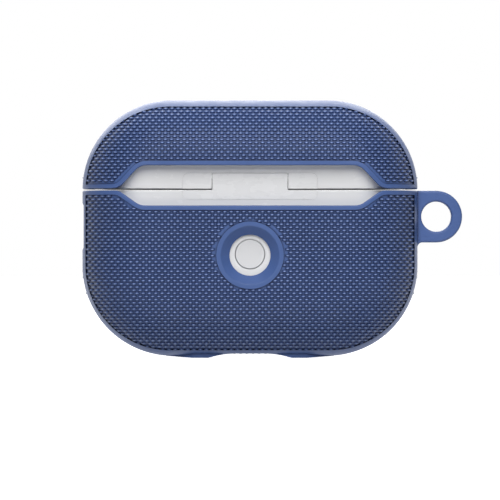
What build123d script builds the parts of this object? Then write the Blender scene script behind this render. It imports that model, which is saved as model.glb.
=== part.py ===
"""A charging case for wireless earbuds, in a two-piece protective cover with a lanyard ring.

Millimetres. X is the width, Y the depth (the lid opens at the front, -Y; the hinge is at the rear, +Y)
and Z is up. The origin is the middle of the charging port's mouth, on the plane the case stands on.
Every piece is one entry of NODES at the bottom, and is written to parts/ under that name.
"""

import os
from math import hypot, sqrt

from build123d import *

# ---------------------------------------------------------------- driving dimensions
CASE_WIDTH = 60.6
CASE_HEIGHT = 45.2
CASE_DEPTH = 21.7
CASE_CORNER = 15.2  # corner radius of the case, seen from the front
EDGE_FLAT = 1.2  # flat left between the front and the rear edge roundings
CASE_WALL = 1.2

COVER_WALL = 2.0
COVER_FIT = 0.1  # gap between the case and its cover
FOOT_HEIGHT = 0.35
FIT = 0.1  # gap round a moulded piece inside another
SEAM_HEIGHT = 32.4  # middle of the gap between lid and base
SEAM_GAP = 0.3
SEAM_ROUND = 0.2  # rounding of the case's edges along the seam
RIM_ROUND = 0.25  # rounding of the cover's edges along the seam, the window and the dishes

# raised plain borders round the cover's textured fields
FIELD_DEPTH = 0.3
RIM_WIDTH = 0.85
FIELD_INSET_SIDE = 0.7
FIELD_INSET_TOP = 1.35
FIELD_INSET_BOTTOM = 1.15

# hinge window in the back of the cover
WINDOW_WIDTH = 50.4  # where its edges meet the seam
WINDOW_FLAT = 42.0  # between the upper corners, before rounding
WINDOW_UP = 4.6
WINDOW_DOWN = 3.08
WINDOW_ROUND = 3.0
WINDOW_TAIL = 2.2  # length of seam past each end, where the edges run into it
RELIEF_MARGIN = 0.1  # room for the lid's swinging corner at the window's ends

# pairing button
BUTTON_HEIGHT = 20.0
BUTTON_RADIUS = 2.8
BUTTON_GAP = 0.12
BUTTON_TRAVEL = 0.25
BUTTON_FLANGE = 0.6  # how far the inner flange stands out past the hole
DISH_DROP = 0.2  # the cover's dish sits this much lower than the button
DISH_HOLE_RADIUS = 3.93
DISH_TOP_RADIUS = 5.6
DISH_RIM_RADIUS = 6.45

# lanyard ring
RING_X = -36.0
RING_RADIUS = 5.0
RING_HOLE_RADIUS = 2.9
RING_THICKNESS = 3.6
RING_ROUND = 0.45

# shallow grip recesses in the cover's sides
GRIP_TOP = 30.0
GRIP_BOTTOM = 20.7
GRIP_DEPTH = 0.3
GRIP_WIDTH = 7.0

# port
PORT_WIDTH = 8.94
PORT_THICKNESS = 3.26
PORT_DEPTH = 7.2
PORT_SHEET = 0.3
PORT_INSET = 0.1
PORT_CUTOUT_WIDTH = 12.4
PORT_CUTOUT_DEPTH = 7.2

# foot pads each side of the port
FOOT_INNER = 8.1
FOOT_OUTER = 11.0
FOOT_TAIL = 16.2  # the pads slope up and narrow towards their outer ends
FOOT_DEPTH = 8.0
FOOT_TAIL_DEPTH = 2.4
GROOVE_FLAT = 10.6
GROOVE_DEPTH = 0.35

# status light
LIGHT_HEIGHT = 25.4
LIGHT_RADIUS = 0.8
LIGHT_HOLE_RADIUS = 1.5
LIGHT_DISH_RADIUS = 2.4
LIGHT_FLANGE = 0.7  # how far the light pipe's flange stands out past its hole
LED_SIZE = 1.6

# hinge
AXIS_BEHIND = 0.75  # the hinge axis lies this far inside the case's back
AXIS_ABOVE = 2.4  # and this far above the seam
PIN_RADIUS = 0.4
PIN_FIT = 0.03
PIN_INSET = 0.6  # the pin ends this far inside the ears
KNUCKLE_RADIUS = 0.75
KNUCKLE_WIDTH = 14.4
KNUCKLE_CORNER = 0.96  # the knuckle fills the corner behind it out to this radius
LIP_THICKNESS = 0.15  # the lid's wall is a thin lip where it passes that corner
LIP_CLEAR = 1.0  # radius cleared behind the lip
EAR_HUB_RADIUS = 0.7
WASHER_RADIUS = 0.68
EAR_GAP = 0.12
WASHER_FIT = 0.02
LEAF_FIT = 0.04  # hairline round the leaves in the case's back
HINGE_WIDTH = 25.8
PLATE_DROP = 1.8  # height of the base leaf's plate below the seam
EAR_RISE = 3.15  # height of the lid leaf's ears above the seam
LEAF_CORNER = 1.2
LEAF_SKIN = 1.45  # thickness of the leaves in the case's back
TAB_THICKNESS = 0.5
SCREW_RADIUS = 0.5
SCREW_FIT = 0.03
SCREW_HEAD_RADIUS = 0.9
SCREW_HEAD_HEIGHT = 0.45
CROSS_REACH = 0.5  # half length of the cross recess in a screw's head
CROSS_HALF = 0.1
CROSS_DEPTH = 0.2
BOSS_RADIUS = 1.3
BOSS_ROOT = 0.6  # how far a boss, and its blind hole, runs into the case's wall

# earbud pockets
HEAD_X = 13.2
HEAD_RADIUS = 8.2
HEAD_HEIGHT = 31.0
STEM_X = 22.3
STEM_RADIUS = 4.0
STEM_FLOOR = 12.5
CUP_WALL = 0.9
TRAY_DROP = 0.7  # tray's face below the seam
TRAY_PLATE = 1.0
DOME_RADIUS = 8.6
DOME_HEIGHT = 33.2
DOME_STEM_RADIUS = 4.8
DOME_STEM_X = 21.8
LINER_RISE = 0.5  # liner's face above the seam
LINER_PLATE = 0.8
LINER_REAR = 7.6  # the liner's plate stops here behind, to clear the hinge
DOME_REAR = 8.0  # flat back of the hollows in the liner

# charging contacts
CONTACT_PITCH = 3.2
CONTACT_PIN_RADIUS = 0.45
CONTACT_BARREL_RADIUS = 0.8
CONTACT_RISE = 0.8
CONTACT_TRAVEL = 0.6
CONTACT_LENGTH = 2.7
CONTACT_BARREL_LENGTH = 3.1
CONTACT_BOARD_THICKNESS = 0.6
CONTACT_FIT = 0.05

# internals
BOARD_THICKNESS = 0.8
BOARD_WIDTH = 30.0
BOARD_LOW = 4.6
BOARD_TOP = 21.0
BATTERY_WIDTH = 32.6
BATTERY_LOW = 10.8
BATTERY_FRONT = -8.2
FOAM_THICKNESS = 0.7
COIL_RADIUS = 8.2
FERRITE_MARGIN = 0.5
COIL_HOLE_RADIUS = 4.9
COIL_THICKNESS = 0.5
COIL_HEIGHT = 19.8
FERRITE_THICKNESS = 0.6
BRACKET_THICKNESS = 0.6
BRACKET_WIDTH = 25.0
BRACKET_HEIGHT = 3.2
BRACKET_SCREW_X = 11.2
MAGNET_WIDTH = 10.0
MAGNET_SIZE = 1.5
MAGNET_INSET = 0.45  # from the inside of the front wall
BUD_MAGNET_X = 6.0
BUD_MAGNET_RADIUS = 1.5
BUD_MAGNET_HEIGHT = 1.9
TAPE_THICKNESS = 0.08
TAPE_WIDTH = 30.0
FLEX_THICKNESS = 0.2

# ---------------------------------------------------------------- worked-out sizes
COVER_GROW = COVER_FIT + COVER_WALL
CASE_BOTTOM = FOOT_HEIGHT + COVER_GROW
CASE_TOP = CASE_BOTTOM + CASE_HEIGHT
CASE_MIDDLE = CASE_BOTTOM + CASE_HEIGHT / 2
EDGE_ROUND = CASE_DEPTH / 2 - EDGE_FLAT / 2
BACK = CASE_DEPTH / 2
INNER = BACK - CASE_WALL  # the inside of the case's front and back walls
COVER_BACK = BACK + COVER_GROW
LID_FACE = SEAM_HEIGHT + SEAM_GAP / 2
BASE_FACE = SEAM_HEIGHT - SEAM_GAP / 2
AXIS_Y = BACK - AXIS_BEHIND
AXIS_Z = SEAM_HEIGHT + AXIS_ABOVE
RING_Z = BASE_FACE - RING_RADIUS
SCREW_HOLE_RADIUS = SCREW_RADIUS + SCREW_FIT
TRAY_FACE = SEAM_HEIGHT - TRAY_DROP
LINER_FACE = SEAM_HEIGHT + LINER_RISE
FAR = 100.0  # past the object on every side

NODES = {}


# ---------------------------------------------------------------- helpers
def box(x, y, z):
    """A block between the two values of each of x, y and z."""
    size = [high - low for low, high in (x, y, z)]
    middle = [(high + low) / 2 for low, high in (x, y, z)]
    return Pos(*middle) * Box(*size)


def along_y(face, y_low, y_high):
    """A front-view face (its x is X, its y is Z) extruded from one depth to another."""
    return Pos(0, y_high, 0) * extrude(Plane.XZ * face, y_high - y_low)


def along_x(radius, x_low, x_high, y, z):
    """A round bar along X."""
    return Pos((x_low + x_high) / 2, y, z) * Rot(0, 90, 0) * Cylinder(radius, x_high - x_low)


def bar_y(radius, y_low, y_high, x, z):
    """A round bar along Y."""
    return Pos(x, (y_low + y_high) / 2, z) * Rot(90, 0, 0) * Cylinder(radius, y_high - y_low)


def bar_z(radius, z_low, z_high, x, y=0.0):
    """A round bar along Z."""
    return Pos(x, y, (z_low + z_high) / 2) * Cylinder(radius, z_high - z_low)


def pebble(grow):
    """The case's pillow shape, with every face moved outwards by grow."""
    half = BACK + grow
    outline = RectangleRounded(CASE_WIDTH + 2 * grow, CASE_HEIGHT + 2 * grow, CASE_CORNER + grow)
    slab = along_y(outline, -half, half)
    rims = slab.edges().filter_by(lambda edge: abs(abs(edge.center().Y) - half) < 1e-3)
    return Pos(0, 0, CASE_MIDDLE) * fillet(rims, EDGE_ROUND + grow)


def stadium(width, thickness):
    """A slot's outline, square to Z."""
    return SlotOverall(width, thickness)


def below(z):
    return box((-FAR, FAR), (-FAR, FAR), (-FAR, z))


def above(z):
    return box((-FAR, FAR), (-FAR, FAR), (z, FAR))


def both_sides(part):
    """A piece and its mirror image across the middle of the case, as separate solids."""
    return Compound(children=[part, mirror(part, about=Plane.YZ)])


def skin_depth(point, grow):
    """How far a point lies inside the skin of the pillow shape grown by grow."""
    corner = CASE_CORNER + grow
    across = abs(point.X) - (CASE_WIDTH / 2 + grow - corner)
    up = abs(point.Z - CASE_MIDDLE) - (CASE_HEIGHT / 2 + grow - corner)
    inset = corner - hypot(max(across, 0), max(up, 0)) - min(max(across, up), 0)
    radius = EDGE_ROUND + grow
    back = abs(point.Y) - EDGE_FLAT / 2
    if back < 0:
        return inset
    return radius - hypot(max(radius - inset, 0), back)


def skin_edges(part, low, high, grow):
    """The edges that lie on the grown pillow's skin, wholly between two heights."""
    close = 0.02
    chosen = []
    for edge in part.edges():
        points = [edge @ place for place in (0, 0.5, 1)]
        on_skin = all(abs(skin_depth(point, grow)) < close for point in points)
        if on_skin and all(low - close < point.Z < high + close for point in points):
            chosen.append(edge)
    return chosen


def circle_at(part, radius, depth):
    """The round edges of one radius at one depth."""
    circles = part.edges().filter_by(GeomType.CIRCLE)
    return [c for c in circles if abs(c.radius - radius) < 1e-3 and abs(c.arc_center.Y - depth) < 1e-3]


# ---------------------------------------------------------------- front-view outlines of the cover
def window_face(grow=0.0):
    """The hinge window in the cover's back, grown evenly by grow."""
    half_gap = SEAM_GAP / 2
    end = WINDOW_WIDTH / 2
    tail = end + WINDOW_TAIL
    corner = WINDOW_FLAT / 2
    with BuildSketch() as sketch:
        with BuildLine():
            Polyline(
                (-tail, half_gap), (-end, half_gap), (-corner, WINDOW_UP),
                (corner, WINDOW_UP), (end, half_gap), (tail, half_gap),
                (tail, -half_gap), (end, -half_gap), (corner, -WINDOW_DOWN),
                (-corner, -WINDOW_DOWN), (-end, -half_gap), (-tail, -half_gap), close=True,
            )
        make_face()
        bends = sketch.vertices().filter_by(lambda v: abs(v.X) < tail - 1e-3)
        fillet(bends, WINDOW_ROUND)
    face = Pos(0, SEAM_HEIGHT) * sketch.sketch
    return offset(face, amount=grow) if grow else face


def field_outline():
    """The outline that the textured fields fill, inset from the cover's silhouette."""
    width = CASE_WIDTH + 2 * COVER_GROW - 2 * FIELD_INSET_SIDE
    low = FOOT_HEIGHT + FIELD_INSET_BOTTOM
    high = CASE_TOP + COVER_GROW - FIELD_INSET_TOP
    inset = (FIELD_INSET_SIDE + FIELD_INSET_TOP) / 2
    return Pos(0, (low + high) / 2) * RectangleRounded(width, high - low, CASE_CORNER + COVER_GROW - inset)


def seam_band():
    """The plain strip along the seam, on both halves of the cover."""
    return Pos(0, SEAM_HEIGHT) * Rectangle(2 * FAR, SEAM_GAP + 2 * RIM_WIDTH)


def rear_fields():
    plain = seam_band() + window_face(RIM_WIDTH)
    plain += Pos(0, BUTTON_HEIGHT - DISH_DROP) * Circle(DISH_RIM_RADIUS)
    return field_outline() - plain


def front_fields():
    plain = seam_band() + Pos(0, LIGHT_HEIGHT) * Circle(LIGHT_DISH_RADIUS + RIM_WIDTH)
    return field_outline() - plain


# ---------------------------------------------------------------- the cover
def field_cut():
    """The thin skin that is sunk below the plain borders, front and rear."""
    skin = pebble(COVER_GROW + 1.0) - pebble(COVER_GROW - FIELD_DEPTH)
    rear = along_y(rear_fields(), EDGE_FLAT, COVER_BACK + 2)
    front = along_y(front_fields(), -COVER_BACK - 2, -EDGE_FLAT)
    return (skin & rear) + (skin & front)


def foot_pads():
    """Two flat pads under the base, with slopes that run out into the rounded bottom."""
    slope_in = GROOVE_FLAT / 2
    rise = FOOT_HEIGHT + GROOVE_DEPTH
    root = FOOT_HEIGHT + COVER_WALL
    profile = Polygon(
        (slope_in, rise), (FOOT_INNER, 0), (FOOT_OUTER, 0), (FOOT_TAIL, FOOT_HEIGHT),
        (FOOT_TAIL, root), (slope_in, root), align=None,
    )
    half = FOOT_DEPTH / 2
    tail = FOOT_TAIL_DEPTH / 2
    plan = Polygon(
        (slope_in, -half), (FOOT_OUTER, -half), (FOOT_TAIL, -tail), (FOOT_TAIL, tail),
        (FOOT_OUTER, half), (slope_in, half), align=None,
    )
    pad = along_y(profile, -half, half) & extrude(plan, root)
    return pad + mirror(pad, about=Plane.YZ)


def ring_tab():
    """The flat lug on the base's side, with its hole still to be cut."""
    root = -CASE_WIDTH / 2
    side = -(CASE_WIDTH / 2 + COVER_GROW)
    low = RING_Z - RING_RADIUS
    heel = 2 * RING_ROUND
    face = Pos(RING_X, RING_Z) * Circle(RING_RADIUS)
    face += Pos((RING_X + root) / 2, RING_Z) * Rectangle(root - RING_X, 2 * RING_RADIUS)
    face += Pos(side, low) * Rectangle(2 * heel, 2 * heel) - Pos(side - heel, low - heel) * Circle(heel)
    tab = along_y(face, -RING_THICKNESS / 2, RING_THICKNESS / 2)
    hole = bar_y(RING_HOLE_RADIUS, -RING_THICKNESS, RING_THICKNESS, RING_X, RING_Z)
    tab -= hole
    free = tab.edges().filter_by(
        lambda edge: abs(abs(edge.center().Y) - RING_THICKNESS / 2) < 1e-3
        and edge.center().X < side - heel
    )
    return fillet(free, RING_ROUND)


def grip_cut():
    """The shallow recess in one side of the cover, away from the ring."""
    side = CASE_WIDTH / 2 + COVER_GROW
    slope = 2 * GRIP_DEPTH
    face = Polygon(
        (side + 1, GRIP_TOP), (side, GRIP_TOP), (side - GRIP_DEPTH, GRIP_TOP - slope),
        (side - GRIP_DEPTH, GRIP_BOTTOM + slope), (side, GRIP_BOTTOM), (side + 1, GRIP_BOTTOM),
        align=None,
    )
    return along_y(face, -GRIP_WIDTH / 2, GRIP_WIDTH / 2)


def dish_cut():
    """The cone over the pairing button, with a short straight hole at its foot."""
    height = BUTTON_HEIGHT - DISH_DROP
    step = COVER_FIT + 0.3
    hole = bar_y(DISH_HOLE_RADIUS, BACK - 1, COVER_BACK + 1, 0, height)
    deep = COVER_BACK - BACK - step
    cone = Cone(DISH_HOLE_RADIUS, DISH_TOP_RADIUS, deep, align=(Align.CENTER, Align.CENTER, Align.MIN))
    return hole + Pos(0, BACK + step, height) * Rot(-90, 0, 0) * cone


def light_dish_cut():
    """The hole for the status light in the front, opening outwards."""
    hole = bar_y(LIGHT_HOLE_RADIUS, -COVER_BACK - 1, -BACK + 1, 0, LIGHT_HEIGHT)
    deep = COVER_WALL - 0.4
    cone = Cone(LIGHT_HOLE_RADIUS, LIGHT_DISH_RADIUS, deep, align=(Align.CENTER, Align.CENTER, Align.MIN))
    return hole + Pos(0, deep - COVER_BACK, LIGHT_HEIGHT) * Rot(90, 0, 0) * cone


def bottom_groove():
    """The shallow groove from front to back in which the port's cut-out lies."""
    rise = FOOT_HEIGHT + GROOVE_DEPTH
    profile = Polygon(
        (-FOOT_INNER, -1), (-FOOT_INNER, 0), (-GROOVE_FLAT / 2, rise), (GROOVE_FLAT / 2, rise),
        (FOOT_INNER, 0), (FOOT_INNER, -1), align=None,
    )
    return along_y(profile, -COVER_BACK, COVER_BACK)


def port_cutout():
    """The cover's opening for the plug, flared at its mouth."""
    rise = FOOT_HEIGHT + GROOVE_DEPTH
    flare = 0.5
    mouth = stadium(PORT_CUTOUT_WIDTH + 2 * flare, PORT_CUTOUT_DEPTH + 2 * flare)
    straight = extrude(stadium(PORT_CUTOUT_WIDTH, PORT_CUTOUT_DEPTH), CASE_BOTTOM + 1)
    throat = Pos(0, 0, rise + flare) * stadium(PORT_CUTOUT_WIDTH, PORT_CUTOUT_DEPTH)
    return straight + loft([Pos(0, 0, rise) * mouth, throat]) + extrude(mouth, rise)


def plan_depth(x, grow):
    """How deep the pillow's back lies at a given x, beside its flat middle."""
    radius = EDGE_ROUND + grow
    across = x - (CASE_WIDTH / 2 - EDGE_ROUND)
    return EDGE_FLAT / 2 + sqrt(radius**2 - across**2)


def swing_relief():
    """Room in the base's rim, at one end of the window, for the corner of the lid as it swings down."""
    start = WINDOW_WIDTH / 2 - 1
    end = WINDOW_WIDTH / 2 + WINDOW_TAIL
    drop = AXIS_Z - LID_FACE
    near = sqrt((plan_depth(start + 1, COVER_GROW) - AXIS_Y) ** 2 + drop**2) + RELIEF_MARGIN
    far = sqrt((plan_depth(end, COVER_GROW) - AXIS_Y) ** 2 + drop**2) + RELIEF_MARGIN
    cone = Cone(near, far, end - start, align=(Align.CENTER, Align.CENTER, Align.MIN))
    return Pos(start, AXIS_Y, AXIS_Z) * Rot(0, 90, 0) * cone


def base_block():
    """The base half of the cover before it is hollowed out, with its rim rounded."""
    block = pebble(COVER_GROW) - above(BASE_FACE) - along_y(window_face(), 0, COVER_BACK + 1)
    return fillet(skin_edges(block, SEAM_HEIGHT - WINDOW_DOWN, BASE_FACE, COVER_GROW), RIM_ROUND)


def cover_base():
    block = base_block() - (dish_cut() + light_dish_cut())
    dish_rims = circle_at(block, DISH_TOP_RADIUS, COVER_BACK) + circle_at(block, LIGHT_DISH_RADIUS, -COVER_BACK)
    block = fillet(dish_rims, RIM_ROUND)
    block += foot_pads()
    block -= grip_cut()
    block -= pebble(COVER_FIT) + field_cut()
    block -= mirrored(swing_relief())
    return block - (bottom_groove() + port_cutout())


def cover_ring():
    """The lug with the lanyard ring, moulded on to the side of the base."""
    return ring_tab() - base_block()


def cover_lid():
    block = pebble(COVER_GROW) - below(LID_FACE) - along_y(window_face(), 0, COVER_BACK + 1)
    block = fillet(skin_edges(block, LID_FACE, SEAM_HEIGHT + WINDOW_UP, COVER_GROW), RIM_ROUND)
    return block - (pebble(COVER_FIT) + field_cut())


def cover_lid_tape():
    """The adhesive strip that holds the cover's lid on the case's lid."""
    low = BACK + (COVER_FIT - TAPE_THICKNESS) / 2
    top = CASE_TOP - EDGE_ROUND
    face = Pos(0, (LID_FACE + 1 + top) / 2) * RectangleRounded(TAPE_WIDTH, top - LID_FACE - 1, 1)
    return along_y(face, -low - TAPE_THICKNESS, -low)


# ---------------------------------------------------------------- the case's shells
def hinge_notch_face(low, high):
    """The opening for a hinge leaf in the case's back, between two heights."""
    width = HINGE_WIDTH + 2 * LEAF_FIT
    corner = LEAF_CORNER + LEAF_FIT
    above_seam = low + high > 2 * SEAM_HEIGHT
    face = Pos(0, (low + high) / 2) * RectangleRounded(width, high - low, corner)
    square_low, square_high = (low, low + corner) if above_seam else (high - corner, high)
    return face + Pos(0, (square_low + square_high) / 2) * Rectangle(width, square_high - square_low)


def case_base_shell():
    plate_low = BASE_FACE - PLATE_DROP
    shell = pebble(0) - pebble(-CASE_WALL) - above(BASE_FACE)
    shell = fillet(skin_edges(shell, BASE_FACE, BASE_FACE, 0), SEAM_ROUND)
    for x in (-BRACKET_SCREW_X, BRACKET_SCREW_X):
        shell += bar_y(BOSS_RADIUS, BRACKET_BACK, INNER + BOSS_ROOT, x, BUTTON_HEIGHT)
        shell -= bar_y(SCREW_HOLE_RADIUS, BRACKET_BACK - 1, INNER + BOSS_ROOT, x, BUTTON_HEIGHT)
    for x in (-TAB_SCREW_X, TAB_SCREW_X):
        shell += bar_y(BOSS_RADIUS, TAB_BACK, INNER + BOSS_ROOT, x, TAB_SCREW_Z)
        shell -= bar_y(SCREW_HOLE_RADIUS, TAB_BACK - 1, INNER + BOSS_ROOT, x, TAB_SCREW_Z)
    shell -= along_y(hinge_notch_face(plate_low - LEAF_FIT, BASE_FACE + 1), BRACKET_BACK, BACK + 1)
    shell -= bar_y(BUTTON_RADIUS + BUTTON_GAP, INNER - 1, BACK + 1, 0, BUTTON_HEIGHT)
    shell -= bar_y(LIGHT_RADIUS + CONTACT_FIT, -BACK - 1, -INNER + 1, 0, LIGHT_HEIGHT)
    return shell - extrude(stadium(PORT_WIDTH + 2 * FIT, PORT_THICKNESS + 2 * FIT), CASE_BOTTOM + CASE_WALL + 1)


def case_lid_shell():
    shell = pebble(0) - pebble(-CASE_WALL) - below(LID_FACE)
    shell = fillet(skin_edges(shell, LID_FACE, LID_FACE, 0), SEAM_ROUND)
    shell -= along_y(hinge_notch_face(LID_FACE - 1, SEAM_HEIGHT + EAR_RISE + LEAF_FIT), BRACKET_BACK, BACK + 1)
    half = KNUCKLE_WIDTH / 2 + EAR_GAP
    clear = along_x(LIP_CLEAR, -half, half, AXIS_Y, AXIS_Z)
    shell -= clear & box((-half, half), (0, BACK - LIP_THICKNESS), (AXIS_Z, FAR))
    for x in (-LID_SCREW_X, LID_SCREW_X):
        shell -= bar_y(SCREW_HOLE_RADIUS, INNER - 1, INNER + BOSS_ROOT, x, LID_SCREW_Z)
    return shell


# ---------------------------------------------------------------- earbud pockets
def base_pocket(grow):
    """One earbud's space in the tray, head and stem, grown evenly by grow."""
    head = Pos(HEAD_X, 0, HEAD_HEIGHT) * Sphere(HEAD_RADIUS + grow)
    return head + bar_z(STEM_RADIUS + grow, STEM_FLOOR - grow, TRAY_FACE + 2, STEM_X)


def lid_pocket(grow):
    """The hollow over one earbud in the lid's liner, grown evenly by grow."""
    head = Pos(HEAD_X, 0, DOME_HEIGHT) * Sphere(DOME_RADIUS + grow)
    return head + Pos(DOME_STEM_X, 0, DOME_HEIGHT - 0.6) * Sphere(DOME_STEM_RADIUS + grow)


def mirrored(part):
    return part + mirror(part, about=Plane.YZ)


def earbud_tray():
    plate = (pebble(-CASE_WALL - FIT) - above(TRAY_FACE)) - below(TRAY_FACE - TRAY_PLATE)
    cups = mirrored(base_pocket(CUP_WALL)) - above(TRAY_FACE - TRAY_PLATE / 2)
    tray = plate + cups - mirrored(base_pocket(0))
    leaf_low = BASE_FACE - PLATE_DROP - FIT
    tray -= box((-HINGE_WIDTH / 2 - FIT, HINGE_WIDTH / 2 + FIT), (LEAF_FRONT - FIT, FAR), (leaf_low, FAR))
    tray -= box((-TAB_WIDTH / 2 - FIT, TAB_WIDTH / 2 + FIT), (TAB_FRONT - FIT, FAR), (TAB_LOW, FAR))
    for x in CONTACT_XS:
        tray -= bar_z(CONTACT_BARREL_RADIUS + CONTACT_FIT, 0, STEM_FLOOR + 1, x)
    return tray


def lid_liner():
    plate = (pebble(-CASE_WALL - FIT) - above(LINER_FACE + LINER_PLATE)) - below(LINER_FACE)
    domes = mirrored(lid_pocket(CUP_WALL)) - below(LINER_FACE + LINER_PLATE / 2)
    domes -= box((-FAR, FAR), (DOME_REAR + CUP_WALL, FAR), (LINER_FACE, FAR))
    hollows = mirrored(lid_pocket(0)) - box((-FAR, FAR), (DOME_REAR, FAR), (LINER_FACE + LINER_PLATE, FAR))
    liner = plate + domes - hollows
    half = HINGE_WIDTH / 2 + 4 * FIT
    return liner - box((-half, half), (LINER_REAR, FAR), (LINER_FACE - 1, LINER_FACE + LINER_PLATE))


# ---------------------------------------------------------------- hinge
TAB_WIDTH = 12.0
LEAF_FRONT = BACK - LEAF_SKIN
TAB_BACK = LEAF_FRONT
TAB_FRONT = TAB_BACK - TAB_THICKNESS
TAB_SCREW_X = 4.3
TAB_SCREW_Z = BASE_FACE - PLATE_DROP - 0.9
TAB_LOW = TAB_SCREW_Z - 0.8
LID_SCREW_X = 10.0
LID_SCREW_Z = SEAM_HEIGHT + EAR_RISE + 1.6
BRIDGE_LOW = AXIS_Z + KNUCKLE_RADIUS + 0.25
BRIDGE_TOP = LID_SCREW_Z + 1.1
BRIDGE_BACK = INNER - 0.15
BRIDGE_FRONT = BRIDGE_BACK - TAB_THICKNESS


def behind_back():
    """Everything behind the flat of the case's back."""
    return box((-FAR, FAR), (BACK, FAR), (-FAR, FAR))


def hinge_base_leaf():
    """The knuckle, the plate in the case's back and the screwed tab inside it, all one piece."""
    half = KNUCKLE_WIDTH / 2
    plate_low = BASE_FACE - PLATE_DROP
    plate = RectangleRounded(HINGE_WIDTH, PLATE_DROP + LEAF_CORNER, LEAF_CORNER)
    plate = Pos(0, plate_low + (PLATE_DROP + LEAF_CORNER) / 2) * plate
    leaf = along_y(plate, LEAF_FRONT, BACK) - above(BASE_FACE)
    leaf += box((-half, half), (LEAF_FRONT, BACK), (plate_low, AXIS_Z))
    leaf += along_x(KNUCKLE_RADIUS, -half, half, AXIS_Y, AXIS_Z)
    corner = along_x(KNUCKLE_CORNER, -half, half, AXIS_Y, AXIS_Z)
    leaf += corner & box((-half, half), (AXIS_Y, BACK), (AXIS_Z, AXIS_Z + KNUCKLE_RADIUS))
    leaf += box((-TAB_WIDTH / 2, TAB_WIDTH / 2), (TAB_FRONT, TAB_BACK), (TAB_LOW, BASE_FACE))
    leaf -= behind_back()
    leaf -= along_x(PIN_RADIUS + PIN_FIT, -FAR, FAR, AXIS_Y, AXIS_Z)
    for x in (-TAB_SCREW_X, TAB_SCREW_X):
        leaf -= bar_y(SCREW_HOLE_RADIUS, TAB_FRONT - 1, TAB_BACK + 1, x, TAB_SCREW_Z)
    return leaf


def hinge_lid_leaf():
    """Two ears on a bridge that is screwed inside the lid's back."""
    inner = KNUCKLE_WIDTH / 2 + EAR_GAP
    outer = HINGE_WIDTH / 2
    top = SEAM_HEIGHT + EAR_RISE
    width = outer - inner
    face = Pos((inner + outer) / 2, (LID_FACE + top) / 2) * Rectangle(width, top - LID_FACE)
    face = fillet(face.vertices().filter_by(lambda v: v.X > outer - 1e-3 and v.Y > top - 1e-3), LEAF_CORNER)
    ear = along_y(face, LEAF_FRONT, BACK) - box((0, FAR), (-FAR, AXIS_Y), (-FAR, AXIS_Z))
    ear += along_x(EAR_HUB_RADIUS, inner, outer, AXIS_Y, AXIS_Z) & along_y(face, 0, BACK)
    ear += box((inner, outer), (BRIDGE_FRONT, BRIDGE_BACK), (AXIS_Z, BRIDGE_TOP))
    leaf = mirrored(ear - behind_back())
    leaf += box((-outer, outer), (BRIDGE_FRONT, BRIDGE_BACK), (BRIDGE_LOW, BRIDGE_TOP))
    leaf -= along_x(PIN_RADIUS + PIN_FIT, -FAR, FAR, AXIS_Y, AXIS_Z)
    for x in (-LID_SCREW_X, LID_SCREW_X):
        leaf -= bar_y(SCREW_HOLE_RADIUS, INNER - 2, INNER + 1, x, LID_SCREW_Z)
    return leaf


def hinge_pin():
    half = HINGE_WIDTH / 2 - PIN_INSET
    return along_x(PIN_RADIUS, -half, half, AXIS_Y, AXIS_Z)


def hinge_washer():
    """One friction washer on the pin, between the knuckle and an ear."""
    start = KNUCKLE_WIDTH / 2 + WASHER_FIT
    thickness = EAR_GAP - 2 * WASHER_FIT
    ring = along_x(WASHER_RADIUS, start, start + thickness, AXIS_Y, AXIS_Z)
    return ring - along_x(PIN_RADIUS + PIN_FIT, 0, FAR, AXIS_Y, AXIS_Z)


def screw(x, z, head_back):
    """A pan-head screw that points backwards, with a cross recess."""
    front = head_back - SCREW_HEAD_HEIGHT
    head = bar_y(SCREW_HEAD_RADIUS, front, head_back, x, z)
    depth = (front, front + CROSS_DEPTH)
    slot = box((x - CROSS_REACH, x + CROSS_REACH), depth, (z - CROSS_HALF, z + CROSS_HALF))
    slot += box((x - CROSS_HALF, x + CROSS_HALF), depth, (z - CROSS_REACH, z + CROSS_REACH))
    return head + bar_y(SCREW_RADIUS, head_back, INNER + BOSS_ROOT - FIT, x, z) - slot


# ---------------------------------------------------------------- pairing button
COIL_BACK = INNER - 0.15
COIL_FRONT = COIL_BACK - COIL_THICKNESS
BRACKET_BACK = COIL_FRONT - FERRITE_THICKNESS
BRACKET_FRONT = BRACKET_BACK - BRACKET_THICKNESS
SWITCH_HEIGHT = 0.35
FLANGE_BACK = INNER - CONTACT_FIT
FLANGE_FRONT = FLANGE_BACK - 0.5


def pair_button():
    """The cap in the case's back, with the flange that holds it in and the stub that works the switch."""
    cap = bar_y(BUTTON_RADIUS, FLANGE_BACK, BACK, 0, BUTTON_HEIGHT)
    cap = fillet(cap.edges().filter_by(lambda edge: edge.center().Y > BACK - 1e-3), 0.15)
    cap += bar_y(BUTTON_RADIUS + BUTTON_FLANGE, FLANGE_FRONT, FLANGE_BACK, 0, BUTTON_HEIGHT)
    return cap + bar_y(0.9, BRACKET_BACK + SWITCH_HEIGHT + BUTTON_TRAVEL + 0.02, FLANGE_FRONT, 0, BUTTON_HEIGHT)


def button_board():
    half = BRACKET_WIDTH / 2
    face = Pos(0, BUTTON_HEIGHT) * RectangleRounded(2 * half, BRACKET_HEIGHT, BRACKET_HEIGHT / 2 - 0.1)
    board = along_y(face, BRACKET_FRONT, BRACKET_BACK)
    for x in (-BRACKET_SCREW_X, BRACKET_SCREW_X):
        board -= bar_y(SCREW_HOLE_RADIUS, 0, BACK, x, BUTTON_HEIGHT)
    return board


def button_switch():
    body = box((-1.5, 1.5), (BRACKET_BACK, BRACKET_BACK + 0.25), (BUTTON_HEIGHT - 1.3, BUTTON_HEIGHT + 1.3))
    return body + bar_y(1.0, BRACKET_BACK + 0.25, BRACKET_BACK + SWITCH_HEIGHT, 0, BUTTON_HEIGHT)


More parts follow.
